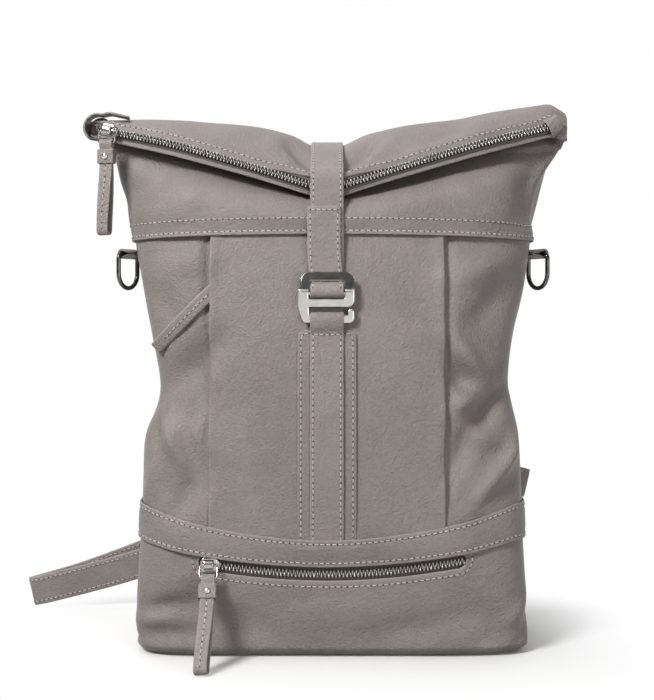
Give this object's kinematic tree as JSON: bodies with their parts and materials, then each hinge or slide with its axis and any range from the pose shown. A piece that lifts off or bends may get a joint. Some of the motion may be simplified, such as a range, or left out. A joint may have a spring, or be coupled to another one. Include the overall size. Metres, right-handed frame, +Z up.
{
  "type": "roll-top backpack",
  "caption": "Soft leather backpack with a zipped roll-top mouth, a front strap closed by a hook buckle, a zipped lower pocket, side D-rings and shoulder straps behind.",
  "frame": {"origin": "on the floor, in the flat underside, below the middle of the closure strap", "axes": "+Z up, the front with the strap and buckle towards -Y, +X to the right as seen from the front"},
  "size_m": [0.4491, 0.2254, 0.4206],
  "materials": {
    "leather": "soft taupe-grey smooth-grain leather",
    "strap_leather": "taupe-grey strap leather, stitched along its edges",
    "zip_tape": "dark taupe woven tape",
    "zip_chain": "dark nickel teeth",
    "dark_metal": "gunmetal",
    "bright_metal": "satin nickel"
  },
  "bodies": {
    "bag": {"base_panel": "leather", "lower_front": "leather", "lower_back": "leather", "upper_front": "leather", "upper_back": "leather", "seam_band": "leather", "collar_front": "leather", "collar_back": "leather", "front_panel": "leather", "strip_patch": "leather", "closure_strap": "strap_leather", "hook_buckle": "bright_metal", "hook_strap": "strap_leather", "top_zip_tape": "zip_tape", "top_zip_chain": "zip_chain", "top_zip_slider": "dark_metal", "bottom_zip_tape": "zip_tape", "bottom_zip_chain": "zip_chain", "bottom_zip_slider": "dark_metal", "zip_end_left": "leather", "zip_end_right": "leather", "ring_loop_left": "leather", "ring_loop_right": "leather", "side_pull": "strap_leather", "shoulder_strap_left": "leather", "shoulder_strap_right": "leather", "lower_strap_left": "strap_leather", "lower_strap_right": "strap_leather"},
    "top_pull": {"top_pull_ring": "dark_metal", "top_pull_tab": "strap_leather", "top_pull_keeper": "strap_leather", "top_pull_rivet": "bright_metal"},
    "bottom_pull": {"bottom_pull_ring": "dark_metal", "bottom_pull_tab": "strap_leather", "bottom_pull_keeper": "strap_leather", "bottom_pull_rivet": "bright_metal"},
    "ring_left": {"d_ring_left": "dark_metal"},
    "ring_right": {"d_ring_right": "dark_metal"}
  },
  "joints": [
    {"name": "top_pull_swing", "type": "hinge", "parent": "bag", "child": "top_pull", "pos_m": [-0.16811, -0.04047, 0.3953], "axis": [-0.9739, 0.2272, 0], "range_deg": [-14, 150]},
    {"name": "bottom_pull_swing", "type": "hinge", "parent": "bag", "child": "bottom_pull", "pos_m": [-0.087, -0.07346, 0.07009], "axis": [-1, 0, 0], "range_deg": [0, 125]},
    {"name": "ring_left_swing", "type": "hinge", "parent": "bag", "child": "ring_left", "pos_m": [-0.15769, -0.00254, 0.303], "axis": [0.5, 0.866, 0], "range_deg": [-14, 160]},
    {"name": "ring_right_swing", "type": "hinge", "parent": "bag", "child": "ring_right", "pos_m": [0.16716, -0.00253, 0.303], "axis": [0.5, -0.866, 0], "range_deg": [-14, 160]}
  ]
}
